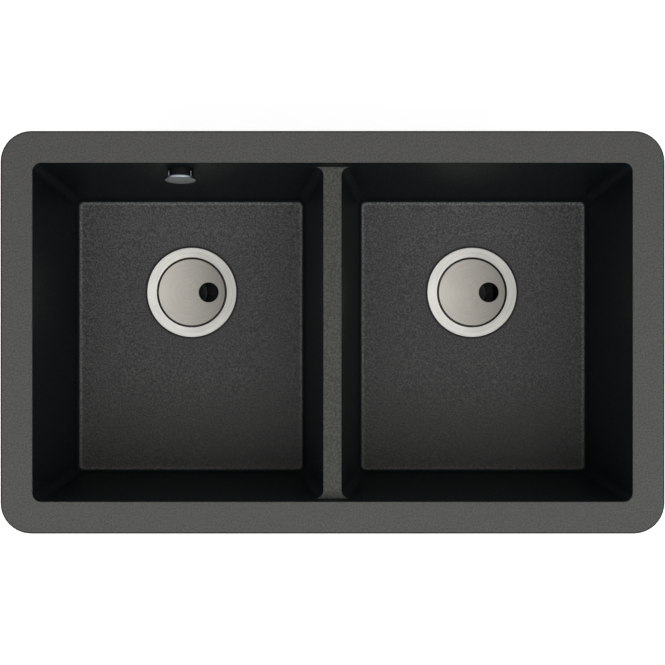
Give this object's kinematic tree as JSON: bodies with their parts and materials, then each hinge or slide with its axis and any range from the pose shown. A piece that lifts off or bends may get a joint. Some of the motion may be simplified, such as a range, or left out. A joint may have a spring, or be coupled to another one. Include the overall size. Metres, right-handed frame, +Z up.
{
  "type": "double bowl kitchen sink",
  "caption": "Undermount double bowl sink in dark stone composite with a lowered divider, basket wastes under flat covers, and an overflow hose.",
  "frame": {"origin": "centre of the rim's top face, which is the plane of the worktop's underside", "axes": "+Z up, +Y towards the back where the overflow is, +X to the right seen from the front"},
  "size_m": [0.765, 0.464, 0.2966],
  "materials": {
    "stone_composite": "satin moulded granite composite, fine grain",
    "brushed_steel": "brushed",
    "chrome": "polished chrome plate",
    "black_rubber": "matt moulded rubber",
    "white_plastic": "moulded polypropylene",
    "grey_plastic": "moulded polypropylene",
    "black_plastic": "moulded polypropylene"
  },
  "bodies": {
    "sink": {"sink_body": "stone_composite", "left_waste_flange": "brushed_steel", "left_rim_gasket": "black_rubber", "left_floor_gasket": "black_rubber", "left_waste_body": "white_plastic", "left_centre_screw": "brushed_steel", "right_waste_flange": "brushed_steel", "right_rim_gasket": "black_rubber", "right_floor_gasket": "black_rubber", "right_waste_body": "white_plastic", "right_centre_screw": "brushed_steel", "overflow_cap": "chrome", "overflow_collar": "grey_plastic", "overflow_washer": "black_rubber", "overflow_elbow": "white_plastic", "overflow_hose": "grey_plastic", "hose_top_nut": "white_plastic", "hose_bottom_nut": "white_plastic"},
    "left_basket": {"left_strainer_basket": "black_plastic", "left_basket_knob": "black_plastic", "left_plug_holder": "black_plastic", "left_plug_seal": "black_rubber"},
    "left_cover": {"left_drain_cover": "brushed_steel"},
    "right_basket": {"right_strainer_basket": "black_plastic", "right_basket_knob": "black_plastic", "right_plug_holder": "black_plastic", "right_plug_seal": "black_rubber"},
    "right_cover": {"right_drain_cover": "brushed_steel"}
  },
  "joints": [
    {"name": "left_basket_lift", "type": "slide", "parent": "sink", "child": "left_basket", "axis": [0, 0, 1], "range_m": [0, 0.25]},
    {"name": "left_cover_lift", "type": "slide", "parent": "left_basket", "child": "left_cover", "axis": [0, 0, 1], "range_m": [0, 0.22]},
    {"name": "right_basket_lift", "type": "slide", "parent": "sink", "child": "right_basket", "axis": [0, 0, 1], "range_m": [0, 0.25]},
    {"name": "right_cover_lift", "type": "slide", "parent": "right_basket", "child": "right_cover", "axis": [0, 0, 1], "range_m": [0, 0.22]}
  ]
}
